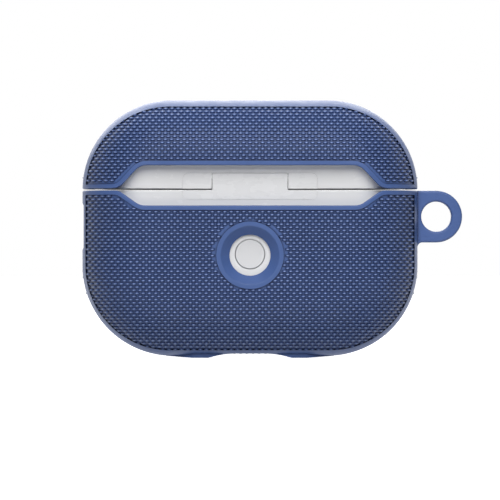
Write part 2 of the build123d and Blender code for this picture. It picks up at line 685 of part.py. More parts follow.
def button_screws():
    return both_sides(screw(BRACKET_SCREW_X, BUTTON_HEIGHT, BRACKET_FRONT))


# ---------------------------------------------------------------- port, boards and battery
BOARD_FRONT = PORT_THICKNESS / 2
BOARD_BACK = BOARD_FRONT + BOARD_THICKNESS
LED_FRONT = -INNER + 0.55
LED_BACK = LED_FRONT + 0.5
CUPS_LOW = HEAD_HEIGHT - HEAD_RADIUS - CUP_WALL - 3 * FIT  # clear space under the cups starts here
PORT_MOUTH = CASE_BOTTOM + PORT_INSET


def port_shell():
    """The receptacle's metal can, open downwards."""
    can = Pos(0, 0, PORT_MOUTH) * extrude(stadium(PORT_WIDTH, PORT_THICKNESS), PORT_DEPTH)
    hollow = stadium(PORT_WIDTH - 2 * PORT_SHEET, PORT_THICKNESS - 2 * PORT_SHEET)
    return can - Pos(0, 0, PORT_MOUTH - 1) * extrude(hollow, PORT_DEPTH + 1 - 0.6)


def port_tongue():
    """The contact tongue inside the receptacle, on its moulded root."""
    top = PORT_MOUTH + PORT_DEPTH - 0.6
    root = stadium(PORT_WIDTH - 2 * PORT_SHEET - 0.1, PORT_THICKNESS - 2 * PORT_SHEET - 0.1)
    body = Pos(0, 0, top - 1.2) * extrude(root, 1.2)
    return body + box((-3.35, 3.35), (-0.35, 0.35), (PORT_MOUTH + 0.7, top - 1.2))


def port_seal():
    """The rubber ring round the receptacle, shaped to the case's floor."""
    ring = stadium(PORT_WIDTH + 1.8, PORT_THICKNESS + 1.4) - stadium(PORT_WIDTH + FIT, PORT_THICKNESS + FIT)
    seal = extrude(ring, BOARD_LOW - CONTACT_FIT)
    return seal & pebble(-CASE_WALL - CONTACT_FIT)


def main_board():
    face = Pos(0, (BOARD_LOW + BOARD_TOP) / 2) * RectangleRounded(BOARD_WIDTH, BOARD_TOP - BOARD_LOW, 1.5)
    return along_y(face, BOARD_FRONT, BOARD_BACK)


def board_chips():
    """The processor, power chips, inductors and plugs on the board's back, as separate solids."""
    sizes = [
        (-5.0, 13.0, 5.6, 5.6, 0.9), (2.6, 14.5, 3.6, 3.6, 0.8), (7.8, 14.0, 3.0, 4.2, 1.1),
        (-10.8, 13.5, 2.6, 2.6, 1.2), (11.9, 17.5, 2.2, 1.4, 0.6), (2.0, 9.0, 4.6, 2.0, 0.9),
        (-5.0, 18.2, 6.0, 1.8, 1.0), (7.4, 8.2, 1.6, 0.9, 0.5), (-9.6, 8.6, 1.6, 0.9, 0.5),
    ]
    chips = [
        box((x - w / 2, x + w / 2), (BOARD_BACK, BOARD_BACK + t), (z - h / 2, z + h / 2))
        for x, z, w, h, t in sizes
    ]
    return Compound(children=chips)


def battery():
    """A soft-edged pouch cell in front of the board."""
    back = BOARD_FRONT - FOAM_THICKNESS
    half = BATTERY_WIDTH / 2
    cell = box((-half, half), (BATTERY_FRONT, back), (BATTERY_LOW, CUPS_LOW))
    return fillet(cell.edges().filter_by(Axis.Z), 1.2)


def battery_foam():
    half = BATTERY_WIDTH / 2 - 4
    return box((-half, half), (BOARD_FRONT - FOAM_THICKNESS, BOARD_FRONT), (BATTERY_LOW + 0.8, BOARD_TOP - 0.6))


def charging_coil():
    """The flat receiving coil round the button, wound as one disc."""
    ring = bar_y(COIL_RADIUS, COIL_FRONT, COIL_BACK, 0, COIL_HEIGHT)
    return ring - bar_y(COIL_HOLE_RADIUS, 0, BACK, 0, COIL_HEIGHT)


def coil_ferrite():
    ring = bar_y(COIL_RADIUS + FERRITE_MARGIN, BRACKET_BACK, COIL_FRONT, 0, COIL_HEIGHT)
    return ring - bar_y(COIL_HOLE_RADIUS - 0.4, 0, BACK, 0, COIL_HEIGHT)


def button_flex():
    """The bent ribbon from the board's upper plug to the button's board."""
    x = (-6.5, -3.5)
    low = 17.6
    plug = BOARD_BACK + 1.0
    flex = box(x, (plug, plug + FLEX_THICKNESS), (low, 20.9))
    flex += box(x, (plug, BRACKET_FRONT), (20.9 - FLEX_THICKNESS, 20.9))
    return flex + box(x, (BRACKET_FRONT - FLEX_THICKNESS, BRACKET_FRONT), (BUTTON_HEIGHT - 1, 20.9))


def status_led():
    half = LED_SIZE / 2
    return box((-half, half), (LED_FRONT, LED_BACK), (LIGHT_HEIGHT - half, LIGHT_HEIGHT + half))


def led_board():
    return box((-3.5, 3.5), (LED_BACK, LED_BACK + 0.5), (CUPS_LOW, LIGHT_HEIGHT + 2.2))


def light_pipe():
    """The clear plug in the case's front, with a flange inside the wall."""
    pipe = bar_y(LIGHT_RADIUS, -BACK, LED_FRONT, 0, LIGHT_HEIGHT)
    return pipe + bar_y(LIGHT_RADIUS + LIGHT_FLANGE, -INNER + CONTACT_FIT, LED_FRONT, 0, LIGHT_HEIGHT)


# ---------------------------------------------------------------- charging contacts
CONTACT_XS = [side * (STEM_X + shift * CONTACT_PITCH / 2) for side in (-1, 1) for shift in (-1, 1)]
BARREL_LOW = STEM_FLOOR - CONTACT_BARREL_LENGTH
CONTACT_BOARD_DEPTH = 2 * (BOARD_BACK - SCREW_FIT)  # its edge meets the ribbon on the main board


def contact_barrel(x):
    """A sprung contact's barrel, closed below, in the floor of a stem pocket."""
    barrel = bar_z(CONTACT_BARREL_RADIUS, BARREL_LOW, STEM_FLOOR, x)
    return barrel - bar_z(CONTACT_PIN_RADIUS + CONTACT_FIT, BARREL_LOW + 0.3, FAR, x)


def contact_pin(x):
    """A plunger with a rounded tip, a little above the floor of its pocket."""
    top = STEM_FLOOR + CONTACT_RISE
    pin = bar_z(CONTACT_PIN_RADIUS, top - CONTACT_LENGTH, top, x)
    return fillet(pin.edges().filter_by(lambda edge: edge.center().Z > top - 1e-3), CONTACT_PIN_RADIUS - 0.1)


def contact_board():
    half = CONTACT_BOARD_DEPTH / 2
    reach = CONTACT_PITCH / 2 + 1
    z = (BARREL_LOW - CONTACT_BOARD_THICKNESS, BARREL_LOW)
    return box((STEM_X - reach, STEM_X + reach), (-half, half), z)


def contact_flex():
    """The ribbon from the contact board to the main board."""
    low = BARREL_LOW - CONTACT_BOARD_THICKNESS - 0.9
    return box((BOARD_WIDTH / 2 - 2, STEM_X), (BOARD_BACK, BOARD_BACK + FLEX_THICKNESS), (low, BARREL_LOW))


# ---------------------------------------------------------------- magnets
def base_latch_magnet():
    top = TRAY_FACE - TRAY_PLATE
    half = MAGNET_WIDTH / 2
    front = -INNER + MAGNET_INSET
    return box((-half, half), (front, front + MAGNET_SIZE), (top - MAGNET_SIZE, top))


def lid_latch_magnet():
    low = LINER_FACE + LINER_PLATE
    half = MAGNET_WIDTH / 2
    front = -INNER + MAGNET_INSET
    return box((-half, half), (front, front + MAGNET_SIZE), (low, low + MAGNET_SIZE))


def bud_magnets():
    """The discs that hold the earbuds down, under the inner side of each cup."""
    return both_sides(bar_z(BUD_MAGNET_RADIUS, CUPS_LOW, CUPS_LOW + BUD_MAGNET_HEIGHT, BUD_MAGNET_X))


# ---------------------------------------------------------------- all pieces
def build():
    NODES["cover_base"] = cover_base()
    NODES["cover_ring"] = cover_ring()
    NODES["cover_lid"] = cover_lid()
    NODES["cover_lid_tape"] = cover_lid_tape()
    NODES["case_base_shell"] = case_base_shell()
    NODES["case_lid_shell"] = case_lid_shell()
    NODES["earbud_tray"] = earbud_tray()
    NODES["lid_liner"] = lid_liner()
    NODES["hinge_base_leaf"] = hinge_base_leaf()
    NODES["hinge_lid_leaf"] = hinge_lid_leaf()
    NODES["hinge_pin"] = hinge_pin()
    NODES["hinge_washers"] = both_sides(hinge_washer())
    NODES["hinge_base_screws"] = both_sides(screw(TAB_SCREW_X, TAB_SCREW_Z, TAB_FRONT))
    NODES["hinge_lid_screws"] = both_sides(screw(LID_SCREW_X, LID_SCREW_Z, BRIDGE_FRONT))
    NODES["pair_button"] = pair_button()
    NODES["button_board"] = button_board()
    NODES["button_switch"] = button_switch()
    NODES["button_screws"] = button_screws()
    NODES["button_flex"] = button_flex()
    NODES["charging_coil"] = charging_coil()
    NODES["coil_ferrite"] = coil_ferrite()
    NODES["main_board"] = main_board()
    NODES["board_chips"] = board_chips()
    NODES["battery"] = battery()
    NODES["battery_foam"] = battery_foam()
    NODES["port_shell"] = port_shell()
    NODES["port_tongue"] = port_tongue()
    NODES["port_seal"] = port_seal()
    NODES["status_led"] = status_led()
    NODES["led_board"] = led_board()
    NODES["light_pipe"] = light_pipe()
    NODES["base_latch_magnet"] = base_latch_magnet()
    NODES["lid_latch_magnet"] = lid_latch_magnet()
    NODES["bud_magnets"] = bud_magnets()
    for side, name in ((-1, "left"), (1, "right")):
        xs = [x for x in CONTACT_XS if x * side > 0]
        turn = (lambda part: part) if side > 0 else (lambda part: mirror(part, about=Plane.YZ))
        NODES[f"contact_board_{name}"] = turn(contact_board())
        NODES[f"contact_flex_{name}"] = turn(contact_flex())
        NODES[f"contact_barrels_{name}"] = Compound(children=[contact_barrel(x) for x in xs])
        for x in xs:
            place = "inner" if abs(x) < STEM_X else "outer"
            NODES[f"contact_pin_{name}_{place}"] = contact_pin(x)


build()
os.makedirs("parts", exist_ok=True)
for name, shape in NODES.items():
    export_step(shape, f"parts/{name}.step")
    print(name, len(shape.solids()), "solid(s)", round(shape.volume, 2), "mm3")
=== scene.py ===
# %% [markdown]
# # A wireless earbuds case in a woven-look cover
#
# This lesson dresses a finished engineering model. The model comes as separate pieces, each of
# the right size and in its place: a white charging case with a hinged lid, and a soft blue
# cover in two halves. The lesson gives every piece a finish, adds the small raised cushions
# that make the cover look woven, and sets up a plain studio.
#
# The engineering model is never moved or reshaped, so that the hinge and the buttons still work.

# %% Load the engineering model
from math import hypot, radians, sqrt

import bpy
from mathutils import Matrix, Vector


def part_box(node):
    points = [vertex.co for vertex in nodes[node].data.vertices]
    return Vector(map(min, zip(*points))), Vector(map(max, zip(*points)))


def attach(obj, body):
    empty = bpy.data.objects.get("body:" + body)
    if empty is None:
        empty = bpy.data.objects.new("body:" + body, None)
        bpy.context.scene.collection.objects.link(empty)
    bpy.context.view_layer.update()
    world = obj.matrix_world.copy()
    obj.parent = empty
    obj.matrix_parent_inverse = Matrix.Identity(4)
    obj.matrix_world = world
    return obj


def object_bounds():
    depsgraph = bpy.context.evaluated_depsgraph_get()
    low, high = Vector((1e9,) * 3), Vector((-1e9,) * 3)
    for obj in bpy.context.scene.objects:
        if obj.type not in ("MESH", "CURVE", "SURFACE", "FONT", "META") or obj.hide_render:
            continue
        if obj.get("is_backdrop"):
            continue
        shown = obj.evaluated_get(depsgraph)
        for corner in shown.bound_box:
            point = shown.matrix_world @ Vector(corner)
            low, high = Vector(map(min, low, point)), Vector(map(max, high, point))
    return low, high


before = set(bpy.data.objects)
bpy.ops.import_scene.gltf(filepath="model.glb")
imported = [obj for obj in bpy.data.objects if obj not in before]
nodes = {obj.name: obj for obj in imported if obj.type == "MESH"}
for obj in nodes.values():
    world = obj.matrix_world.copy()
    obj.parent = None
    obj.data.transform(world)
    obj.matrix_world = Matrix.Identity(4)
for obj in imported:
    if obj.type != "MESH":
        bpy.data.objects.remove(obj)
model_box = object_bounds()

MM = 0.001
print("pieces in the model:", len(nodes))
print("model box in mm:", [[round(v / MM, 2) for v in corner] for corner in model_box])

# %% [markdown]
# ## A clean start
#
# An operator works on everything that is selected, and loading leaves all pieces selected. So
# everything is deselected before a shape is made. A second helper joins many copies into one
# piece, again from a clean selection.

# %% Select nothing, or join what belongs together
def nothing_selected():
    bpy.ops.object.select_all(action="DESELECT")


def joined(pieces):
    """Joins pieces into the first of them."""
    nothing_selected()
    for piece in pieces:
        piece.select_set(True)
    bpy.context.view_layer.objects.active = pieces[0]
    bpy.ops.object.join()
    return bpy.context.active_object


nothing_selected()
print("selected now:", len(bpy.context.selected_objects))

# %% [markdown]
# ## Building blocks for finishes
#
# Real surfaces are never one flat colour. Moulded plastic has a fine grain and patches that are
# a little duller, metal has brush lines, and so on. Each finish here starts as a Principled
# shader with its fixed values on the shader itself, and then gets patterns laid over it. The
# patterns read Object coordinates, so they stick to the piece when the lid opens. Image
# pictures would also work, but patterns made from nodes stay sharp at any distance.

# %% Start a finish
def shader_of(finish):
    return finish.node_tree.nodes["Principled BSDF"]


def new_finish(name, colour, roughness, **values):
    """A new finish. Extra values name the shader's sockets, with _ for a space."""
    finish = bpy.data.materials.new(name)
    finish.use_nodes = True
    shader = shader_of(finish)
    shader.inputs["Base Color"].default_value = (*colour, 1)
    shader.inputs["Roughness"].default_value = roughness
    for socket, value in values.items():
        shader.inputs[socket.replace("_", " ")].default_value = value
    return finish


def add_node(finish, kind, **settings):
    node = finish.node_tree.nodes.new(kind)
    for setting, value in settings.items():
        setattr(node, setting, value)
    return node


def wire(finish, output, socket):
    finish.node_tree.links.new(output, socket)


def span_of(finish, value, low, high, low_value, high_value):
    """Maps a value's range to another, and holds it at the ends."""
    span = add_node(finish, "ShaderNodeMapRange")
    sockets = ("From Min", "From Max", "To Min", "To Max")
    for socket, number in zip(sockets, (low, high, low_value, high_value)):
        span.inputs[socket].default_value = number
    wire(finish, value, span.inputs["Value"])
    return span.outputs["Result"]


print("finish helpers ready")

# %% Patterns that stick to a piece
def stretched_place(finish, stretch=(1, 1, 1), shift=(0, 0, 0)):
    """Object coordinates, stretched and shifted."""
    place = add_node(finish, "ShaderNodeTexCoord")
    mapping = add_node(finish, "ShaderNodeMapping")
    mapping.inputs["Location"].default_value = shift
    mapping.inputs["Scale"].default_value = stretch
    wire(finish, place.outputs["Object"], mapping.inputs["Vector"])
    return mapping.outputs["Vector"]


def clouds(finish, size_mm, detail=2.0, stretch=(1, 1, 1)):
    """Soft irregular patches, about size_mm across."""
    noise = add_node(finish, "ShaderNodeTexNoise")
    noise.inputs["Scale"].default_value = 1 / (size_mm * MM)
    noise.inputs["Detail"].default_value = detail
    wire(finish, stretched_place(finish, stretch), noise.inputs["Vector"])
    return noise.outputs["Fac"]


def cells(finish, size_mm, feature="F1", stretch=(1, 1, 1)):
    """A pattern of irregular cells, about size_mm across."""
    voronoi = add_node(finish, "ShaderNodeTexVoronoi", feature=feature)
    voronoi.inputs["Scale"].default_value = 1 / (size_mm * MM)
    wire(finish, stretched_place(finish, stretch), voronoi.inputs["Vector"])
    return voronoi.outputs["Distance"]


print("pattern helpers ready")

# %% Let a pattern drive colour, gloss and relief
def blend_of(finish, pattern, stops):
    """Turns a pattern into colours. Stops are (place, colour) pairs."""
    ramp = add_node(finish, "ShaderNodeValToRGB")
    elements = ramp.color_ramp.elements
    while len(elements) < len(stops):
        elements.new(0.5)
    for element, (place, colour) in zip(elements, stops):
        element.position = place
        element.color = (*colour, 1)
    wire(finish, pattern, ramp.inputs["Fac"])
    return ramp.outputs["Color"]


def colour_by(finish, pattern, stops):
    wire(finish, blend_of(finish, pattern, stops), shader_of(finish).inputs["Base Color"])


def times(finish, first, second):
    """The product of two colours."""
    product = add_node(finish, "ShaderNodeMix", data_type="RGBA", blend_type="MULTIPLY")
    product.inputs[0].default_value = 1
    wire(finish, first, product.inputs[6])
    wire(finish, second, product.inputs[7])
    return product.outputs[2]


def gloss_by(finish, pattern, low, high):
    """The pattern moves the roughness between two values."""
    roughness = span_of(finish, pattern, 0.3, 0.7, low, high)
    wire(finish, roughness, shader_of(finish).inputs["Roughness"])


def relief_by(finish, pattern, depth_mm, strength=1.0):
    """The pattern raises and lowers the surface. A second call adds to the first."""
    bump = add_node(finish, "ShaderNodeBump")
    bump.inputs["Strength"].default_value = strength
    bump.inputs["Distance"].default_value = depth_mm * MM
    wire(finish, pattern, bump.inputs["Height"])
    normal = shader_of(finish).inputs["Normal"]
    if normal.is_linked:
        wire(finish, normal.links[0].from_socket, bump.inputs["Normal"])
    wire(finish, bump.outputs["Normal"], normal)


dressed = set()


def dress(finish, *names):
    """Puts a finish on pieces of the engineering model."""
    for name in names:
        mesh = nodes[name].data
        if not mesh.materials:
            mesh.materials.append(finish)
        for place in range(len(mesh.materials)):
            mesh.materials[place] = finish
    dressed.update(names)
    print(finish.name, "on", ", ".join(names))


print("pattern helpers that drive a shader are ready")

# %% [markdown]
# ## The cover's blue
#
# The cover is a soft blue plastic, moulded in a tool with a fine spark-eroded grain. It is dull
# but not dead: light skims along its rounded edges and turns them pale. The colour could be one
# value, but large faint patches keep it from looking like paint, and painted shade darkens it in
# narrow hollows. The grain is a tenth of a millimetre, so it only shows close up.

# %% Mix the cover's blue
BLUE_DEEP = (0.048, 0.097, 0.268)
BLUE_PALE = (0.059, 0.113, 0.302)
# how far the painted shade in narrow hollows reaches
PAINTED_SHADE_REACH = 0.5      # mm
BORDER_ROUGHNESS = 0.46


def painted_hollow_shade(finish, colour, darkest):
    """Paints shade: darkens a colour in narrow hollows, where less light reaches."""
    hollow = add_node(finish, "ShaderNodeAmbientOcclusion", samples=6)
    hollow.inputs["Distance"].default_value = PAINTED_SHADE_REACH * MM
    shade = blend_of(finish, hollow.outputs["AO"], [(0.5, darkest), (0.98, (1, 1, 1))])
    return times(finish, colour, shade)


def soft_skin(finish, roughness):
    """The uneven gloss, the fine grain and the slow waves of all the soft plastic."""
    gloss_by(finish, clouds(finish, 3, 4), roughness - 0.04, roughness + 0.06)
    relief_by(finish, clouds(finish, 0.12, 2), 0.006, 0.5)
    relief_by(finish, clouds(finish, 4, 2), 0.03, 0.15)


def border_blue():
    finish = new_finish("moulded_blue", BLUE_DEEP, BORDER_ROUGHNESS, IOR=1.5, Specular_IOR_Level=0.34)
    patches = blend_of(finish, clouds(finish, 9, 3), [(0.25, BLUE_DEEP), (0.75, BLUE_PALE)])
    # painted shade: the cover's blue is darkened in its narrow hollows
    shaded = painted_hollow_shade(finish, patches, (0.14, 0.15, 0.2))
    wire(finish, shaded, shader_of(finish).inputs["Base Color"])
    soft_skin(finish, BORDER_ROUGHNESS)
    return finish


moulded_blue = border_blue()
dress(moulded_blue, "cover_base", "cover_lid", "cover_ring")

# %% [markdown]
# ## The white case
#
# The case's shells are glossy white plastic, polished like a pebble. A clear coat over a softer
# white gives the double look of that plastic: sharp reflections over a milky body. Fine wipe
# marks vary the gloss, and a very slow wave in the surface bends reflections a little, as
# moulded plastic does. The tray and the liner inside are the same white with a satin skin.

# %% Mix the whites
CASE_WHITE = (0.75, 0.751, 0.754)
BUTTON_WHITE = (0.665, 0.667, 0.672)


def gloss_white(name, white, roughness, coat):
    finish = new_finish(name, white, roughness, IOR=1.48, Coat_Weight=coat, Coat_Roughness=0.06)
    warm = tuple(0.985 * v for v in white)
    colour_by(finish, clouds(finish, 14, 2), [(0.3, warm), (0.7, white)])
    gloss_by(finish, clouds(finish, 2.5, 4, (1, 1, 2)), roughness - 0.02, roughness + 0.03)
    relief_by(finish, clouds(finish, 18, 1), 0.02, 0.1)
    return finish


shell_white = gloss_white("shell_white", CASE_WHITE, 0.25, 0.5)
dress(shell_white, "case_base_shell", "case_lid_shell")

button_white = gloss_white("button_white", BUTTON_WHITE, 0.35, 0.2)
relief_by(button_white, clouds(button_white, 0.15, 2), 0.004, 0.3)
dress(button_white, "pair_button")

# %% Satin white for the tray and the lid's liner
def satin_white(name, white, grain_mm):
    finish = new_finish(name, white, 0.4, IOR=1.48)
    duller = tuple(0.97 * v for v in white)
    colour_by(finish, clouds(finish, 10, 2), [(0.3, duller), (0.7, white)])
    gloss_by(finish, clouds(finish, 1.5, 4), 0.34, 0.46)
    relief_by(finish, clouds(finish, grain_mm, 2), 0.005, 0.4)
    return finish


dress(satin_white("satin_white", (0.74, 0.745, 0.75), 0.1), "earbud_tray", "lid_liner")
dress(satin_white("film_white", (0.6, 0.62, 0.64), 0.4), "cover_lid_tape")

# %% [markdown]
# ## Metals
#
# The hinge is steel with a pale coat that matches the case. The pin, the screws and the plug's
# can are bare steel, and the magnets are plated with nickel. Drawn and rolled metal has fine
# lines along the way it was worked. Stretching a cloud pattern a long way in one direction gives
# those lines, both as gloss and as a very shallow relief.

# %% Mix the metals
def worked_metal(name, dark, light, roughness, stretch, metallic=1.0):
    finish = new_finish(name, light, roughness, Metallic=metallic, IOR=1.5)
    lines = clouds(finish, 0.5, 4, stretch)
    colour_by(finish, lines, [(0.3, dark), (0.7, light)])
    gloss_by(finish, lines, roughness - 0.06, roughness + 0.1)
    relief_by(finish, lines, 0.004, 0.3)
    return finish


coated_hinge = gloss_white("coated_hinge", CASE_WHITE, 0.27, 0.5)
relief_by(coated_hinge, clouds(coated_hinge, 0.5, 4, (0.15, 4, 4)), 0.003, 0.2)
dress(coated_hinge, "hinge_base_leaf", "hinge_lid_leaf")

pin_steel = worked_metal("pin_steel", (0.42, 0.42, 0.43), (0.62, 0.62, 0.63), 0.25, (0.1, 6, 6))
dress(pin_steel, "hinge_pin", "hinge_washers")

screw_steel = worked_metal("screw_steel", (0.30, 0.30, 0.31), (0.50, 0.50, 0.51), 0.32, (3, 0.3, 3))
dress(screw_steel, "hinge_base_screws", "hinge_lid_screws", "button_screws")

port_steel = worked_metal("port_steel", (0.44, 0.44, 0.45), (0.60, 0.60, 0.61), 0.28, (3, 3, 0.2))
dress(port_steel, "port_shell")

magnet_nickel = worked_metal("magnet_nickel", (0.55, 0.53, 0.49), (0.68, 0.66, 0.62), 0.22, (1, 1, 1))
dress(magnet_nickel, "base_latch_magnet", "lid_latch_magnet", "bud_magnets")

contact_gold = worked_metal("contact_gold", (0.75, 0.52, 0.20), (0.92, 0.68, 0.30), 0.24, (4, 4, 0.4))
pins = [n for n in sorted(nodes) if n.startswith(("contact_pin", "contact_barrels"))]
dress(contact_gold, *pins)

# %% [markdown]
# ## Circuit boards
#
# A board is glass cloth and resin under a green lacquer, with copper tracks that show as
# slightly lighter lines, and gold dots where the layers join. The tracks could be drawn one by
# one, but inside a closed case an impression is enough: the borders of square-ish cells make
# tracks, and the middles of small cells make the dots.

# %% Mix the board's lacquer
def mixed(finish, share, first, second):
    """Two colours mixed by a pattern. First comes from a node, second is fixed."""
    mix = add_node(finish, "ShaderNodeMix", data_type="RGBA")
    wire(finish, share, mix.inputs[0])
    wire(finish, first, mix.inputs[6])
    mix.inputs[7].default_value = (*second, 1)
    return mix.outputs[2]


LACQUER, TRACK, DOT_GOLD = (0.012, 0.09, 0.035), (0.03, 0.19, 0.07), (0.72, 0.5, 0.2)


def board_lacquer():
    finish = new_finish("board_lacquer", LACQUER, 0.3, IOR=1.5, Coat_Weight=0.3)
    tracks = add_node(finish, "ShaderNodeTexVoronoi", feature="DISTANCE_TO_EDGE")
    tracks.inputs["Scale"].default_value = 1 / (1.6 * MM)
    tracks.inputs["Randomness"].default_value = 0.6
    wire(finish, stretched_place(finish, (1, 1, 0.6)), tracks.inputs["Vector"])
    lines = blend_of(finish, tracks.outputs["Distance"], [(0.03, TRACK), (0.06, LACQUER)])
    dots = blend_of(finish, cells(finish, 0.9), [(0.1, (1, 1, 1)), (0.14, (0, 0, 0))])
    wire(finish, mixed(finish, dots, lines, DOT_GOLD), shader_of(finish).inputs["Base Color"])
    relief_by(finish, tracks.outputs["Distance"], 0.02, 0.3)
    return finish


print("board finish mixed")

# %% Dress the boards
boards = [n for n in sorted(nodes) if n.endswith("_board") or n.startswith("contact_board")]
dress(board_lacquer(), *boards)

# %% [markdown]
# ## The small parts on the boards
#
# Chips are black epoxy with a fine sandy grain, and ribbons are amber film with copper lines
# running along them. The coil is many turns of copper wire side by side: rings round the
# button's axis, made by a wave pattern that is centred on the coil. The ferrite behind it is a
# dark grey sheet, cracked like dried mud, and the cell is a crinkled silver pouch.

# %% Chips, foam and rubber
def dark_grain(name, dark, light, roughness, size_mm, depth_mm):
    finish = new_finish(name, dark, roughness, IOR=1.5)
    colour_by(finish, clouds(finish, size_mm * 4, 3), [(0.3, dark), (0.7, light)])
    gloss_by(finish, clouds(finish, size_mm * 3, 3), roughness - 0.08, roughness + 0.08)
    relief_by(finish, clouds(finish, size_mm, 3), depth_mm, 0.6)
    return finish


dress(dark_grain("chip_epoxy", (0.012, 0.012, 0.013), (0.03, 0.03, 0.032), 0.5, 0.06, 0.01), "board_chips")
dress(dark_grain("cell_foam", (0.02, 0.02, 0.022), (0.05, 0.05, 0.052), 0.9, 0.35, 0.12), "battery_foam")
dress(dark_grain("seal_rubber", (0.035, 0.035, 0.038), (0.06, 0.06, 0.064), 0.65, 0.12, 0.01), "port_seal")
dress(dark_grain("tongue_resin", (0.01, 0.01, 0.011), (0.02, 0.02, 0.022), 0.4, 0.08, 0.006), "port_tongue")
dress(dark_grain("switch_body", (0.10, 0.10, 0.105), (0.16, 0.16, 0.165), 0.4, 0.1, 0.01), "button_switch")

# %% Ribbons, coil, ferrite and cell
def ribbon_amber():
    finish = new_finish("ribbon_amber", (0.5, 0.2, 0.03), 0.3, IOR=1.55, Coat_Weight=0.4)
    lines = add_node(finish, "ShaderNodeTexWave", bands_direction="Z")
    lines.inputs["Scale"].default_value = 1 / (6 * MM)
    wire(finish, stretched_place(finish), lines.inputs["Vector"])
    colour_by(finish, lines.outputs["Fac"], [(0.35, (0.5, 0.2, 0.03)), (0.55, (0.62, 0.3, 0.1))])
    gloss_by(finish, clouds(finish, 1, 3), 0.26, 0.38)
    relief_by(finish, lines.outputs["Fac"], 0.01, 0.3)
    return finish


def wound_copper():
    finish = new_finish("wound_copper", (0.8, 0.36, 0.16), 0.3, Metallic=1.0)
    turns = add_node(finish, "ShaderNodeTexWave", wave_type="RINGS", rings_direction="Y")
    turns.inputs["Scale"].default_value = 1 / (6 * MM)
    turns.inputs["Distortion"].default_value = 0.15
    low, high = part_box("charging_coil")
    middle = (low + high) / 2
    wire(finish, stretched_place(finish, shift=(-middle.x, 0, -middle.z)), turns.inputs["Vector"])
    colour_by(finish, turns.outputs["Fac"], [(0.05, (0.16, 0.05, 0.02)), (0.4, (0.8, 0.36, 0.16))])
    gloss_by(finish, clouds(finish, 1, 3), 0.24, 0.36)
    relief_by(finish, turns.outputs["Fac"], 0.1, 0.7)
    return finish


def cracked_ferrite():
    finish = new_finish("cracked_ferrite", (0.06, 0.06, 0.062), 0.5, IOR=1.6)
    cracks = cells(finish, 1.2, "DISTANCE_TO_EDGE")
    colour_by(finish, cracks, [(0.01, (0.02, 0.02, 0.02)), (0.05, (0.07, 0.07, 0.073))])
    gloss_by(finish, clouds(finish, 1, 3), 0.42, 0.58)
    relief_by(finish, cracks, 0.02, 0.4)
    return finish


def pouch_silver():
    finish = new_finish("pouch_silver", (0.62, 0.63, 0.65), 0.32, Metallic=0.9)
    creases = cells(finish, 2.2, "SMOOTH_F1", (1, 1, 1.6))
    colour_by(finish, clouds(finish, 5, 3), [(0.3, (0.52, 0.53, 0.55)), (0.7, (0.66, 0.67, 0.69))])
    gloss_by(finish, creases, 0.26, 0.42)
    relief_by(finish, creases, 0.15, 0.4)
    return finish


dress(ribbon_amber(), "button_flex", "contact_flex_left", "contact_flex_right")
dress(wound_copper(), "charging_coil")
dress(cracked_ferrite(), "coil_ferrite")
dress(pouch_silver(), "battery")

# %% [markdown]
# ## The status light
#
# A clear plug in the front wall carries the light of a small lamp behind it. The plug is acrylic
# with a slightly frosted face, so it spreads the light. The lamp is off: a white block with a
# yellowish drop of resin over its chip.

# %% Clear plug and lamp
clear_plug = new_finish("clear_plug", (0.93, 0.95, 0.96), 0.2, IOR=1.49, Transmission_Weight=0.85)
colour_by(clear_plug, clouds(clear_plug, 0.8, 2), [(0.3, (0.88, 0.9, 0.91)), (0.7, (0.94, 0.95, 0.96))])
gloss_by(clear_plug, clouds(clear_plug, 0.3, 3), 0.14, 0.3)
relief_by(clear_plug, clouds(clear_plug, 0.1, 2), 0.003, 0.3)
dress(clear_plug, "light_pipe")

lamp_resin = new_finish("lamp_resin", (0.8, 0.78, 0.62), 0.3, IOR=1.5)
colour_by(lamp_resin, cells(lamp_resin, 1.2), [(0.2, (0.85, 0.7, 0.25)), (0.5, (0.8, 0.8, 0.78))])
gloss_by(lamp_resin, clouds(lamp_resin, 0.3, 3), 0.24, 0.4)
relief_by(lamp_resin, clouds(lamp_resin, 0.2, 2), 0.004, 0.3)
dress(lamp_resin, "status_led")

print("pieces with no finish:", sorted(set(nodes) - dressed))

# %% [markdown]
# ## The woven cushions: where they lie
#
# The cover's front and back are filled with rows of tiny raised cushions. Each is about one
# millimetre wide and half as tall, and every second row is shifted by half a step, like the
# knots of a coarse cloth. The tool that moulds the cover pulls off straight to the front or the
# back, so seen from there the cushions keep their even spacing, and they stretch where the
# surface turns away at the sides.
#
# The engineering model leaves a shallow sunk field for them, 0.3 mm below its plain borders. A
# texture could fake the cushions, but their own shapes catch the light on every curved flank.
# First, a few functions say how deep the sunk surface lies and whether a place is in the field.

# %% The sunk surface, in millimetres
CASE_WIDTH, CASE_HEIGHT, CASE_DEPTH = 60.6, 45.2, 21.7
CASE_CORNER, EDGE_FLAT = 15.2, 1.2
MIDDLE_Z, MODEL_TOP = 25.05, 50
FIELD_GROW = 1.8      # the sunk field lies this far outside the case


def surface_depth(x, z, grow=FIELD_GROW):
    """How far the rounded surface stands from the middle plane, or None outside it."""
    corner = CASE_CORNER + grow
    across = abs(x) - (CASE_WIDTH / 2 + grow - corner)
    up = abs(z - MIDDLE_Z) - (CASE_HEIGHT / 2 + grow - corner)
    inset = corner - hypot(max(across, 0), max(up, 0)) - min(max(across, up), 0)
    if inset <= 0:
        return None
    radius = (CASE_DEPTH - EDGE_FLAT) / 2 + grow
    turn = max(radius - inset, 0)
    return EDGE_FLAT / 2 + sqrt(radius**2 - turn**2)


near_a_side = surface_depth(31, MIDDLE_Z)
print("depth in the middle:", surface_depth(0, MIDDLE_Z), "and near a side:", round(near_a_side, 2))

